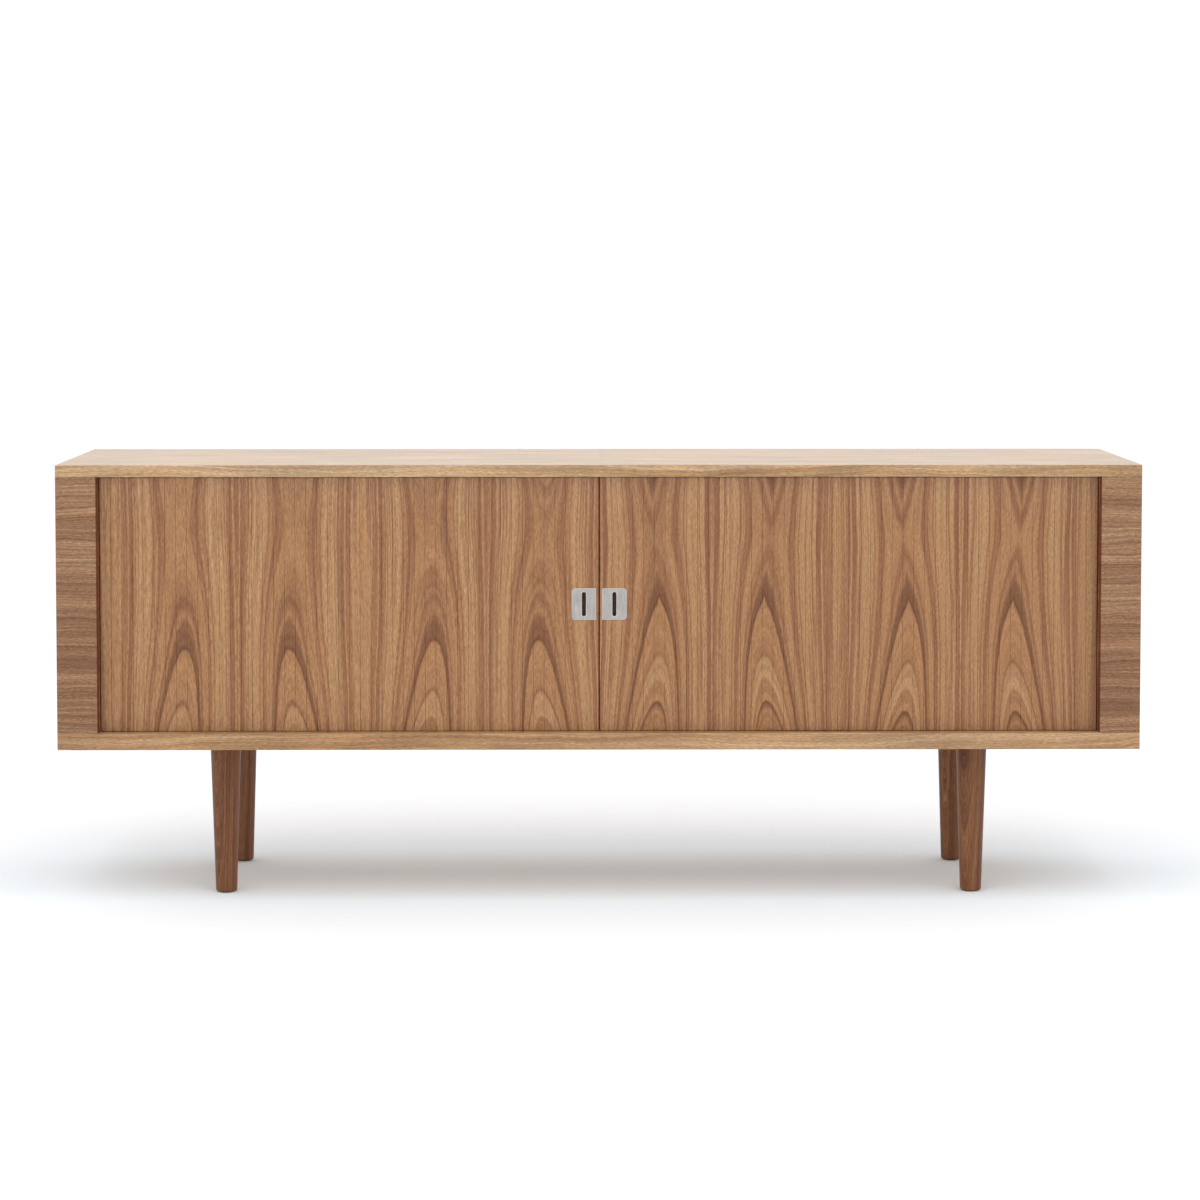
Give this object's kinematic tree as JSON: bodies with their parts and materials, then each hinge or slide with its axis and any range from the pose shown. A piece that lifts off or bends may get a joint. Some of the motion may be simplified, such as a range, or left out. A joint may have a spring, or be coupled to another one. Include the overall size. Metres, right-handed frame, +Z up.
{
  "type": "sideboard",
  "caption": "Low walnut sideboard on round tapered legs. Slatted tambour doors with flush metal pulls slide sideways and uncover shelves and pull-out trays.",
  "frame": {"origin": "on the floor, under the middle of the case", "axes": "+X along the width to the right as seen from the front, +Y from the front to the back, +Z up"},
  "size_m": [1.825, 0.46, 0.737],
  "materials": {
    "case_veneer": "satin oiled walnut veneer, level grain",
    "board_veneer": "satin oiled walnut veneer with lighter solid edges",
    "door_veneer": "satin oiled walnut, book-matched flame veneer, upright grain",
    "leg_wood": "satin oiled solid walnut",
    "inner_veneer": "satin walnut veneer",
    "tray_wood": "satin solid maple",
    "pull_metal": "brushed upright",
    "fixing_steel": "plated",
    "canvas": "woven cotton canvas",
    "dowel_wood": "plain beech",
    "glide_plastic": "matte"
  },
  "bodies": {
    "root": {"left_side_panel": "case_veneer", "right_side_panel": "case_veneer", "left_front_stile": "case_veneer", "right_front_stile": "case_veneer", "back_panel": "case_veneer", "top_panel": "board_veneer", "bottom_panel": "board_veneer", "left_tambour_slats": "door_veneer", "right_tambour_slats": "door_veneer", "front_left_leg": "leg_wood", "front_right_leg": "leg_wood", "back_left_leg": "leg_wood", "back_right_leg": "leg_wood", "left_inner_side": "inner_veneer", "right_inner_side": "inner_veneer", "inner_back_panel": "inner_veneer", "left_partition": "inner_veneer", "centre_partition": "inner_veneer", "right_partition": "inner_veneer", "far_left_shelf": "inner_veneer", "left_shelf": "inner_veneer", "right_shelf": "inner_veneer", "tray_runners": "tray_wood", "back_panel_screws": "fixing_steel", "leg_inserts": "fixing_steel", "leg_hanger_bolts": "fixing_steel", "door_stop_pins": "fixing_steel", "shelf_pins": "fixing_steel", "left_tambour_canvas": "canvas", "right_tambour_canvas": "canvas", "side_panel_dowels": "dowel_wood", "foot_glides": "glide_plastic"},
    "left_door": {"left_lead_stile": "door_veneer", "left_pull": "pull_metal"},
    "right_door": {"right_lead_stile": "door_veneer", "right_pull": "pull_metal"},
    "tray_1": {"tray_1_front": "tray_wood", "tray_1_sides": "tray_wood", "tray_1_back": "tray_wood", "tray_1_floor": "tray_wood"},
    "tray_2": {"tray_2_front": "tray_wood", "tray_2_sides": "tray_wood", "tray_2_back": "tray_wood", "tray_2_floor": "tray_wood"},
    "tray_3": {"tray_3_front": "tray_wood", "tray_3_sides": "tray_wood", "tray_3_back": "tray_wood", "tray_3_floor": "tray_wood"},
    "tray_4": {"tray_4_front": "tray_wood", "tray_4_sides": "tray_wood", "tray_4_back": "tray_wood", "tray_4_floor": "tray_wood"}
  },
  "joints": [
    {"name": "left_door_slide", "type": "slide", "parent": "root", "child": "left_door", "axis": [-1, 0, 0], "range_m": [0, 0.785], "deforming": ["left_tambour_slats", "left_tambour_canvas"]},
    {"name": "right_door_slide", "type": "slide", "parent": "root", "child": "right_door", "axis": [1, 0, 0], "range_m": [0, 0.785], "deforming": ["right_tambour_slats", "right_tambour_canvas"]},
    {"name": "tray_1_slide", "type": "slide", "parent": "root", "child": "tray_1", "axis": [0, -1, 0], "range_m": [0, 0.3]},
    {"name": "tray_2_slide", "type": "slide", "parent": "root", "child": "tray_2", "axis": [0, -1, 0], "range_m": [0, 0.3]},
    {"name": "tray_3_slide", "type": "slide", "parent": "root", "child": "tray_3", "axis": [0, -1, 0], "range_m": [0, 0.3]},
    {"name": "tray_4_slide", "type": "slide", "parent": "root", "child": "tray_4", "axis": [0, -1, 0], "range_m": [0, 0.3]}
  ]
}
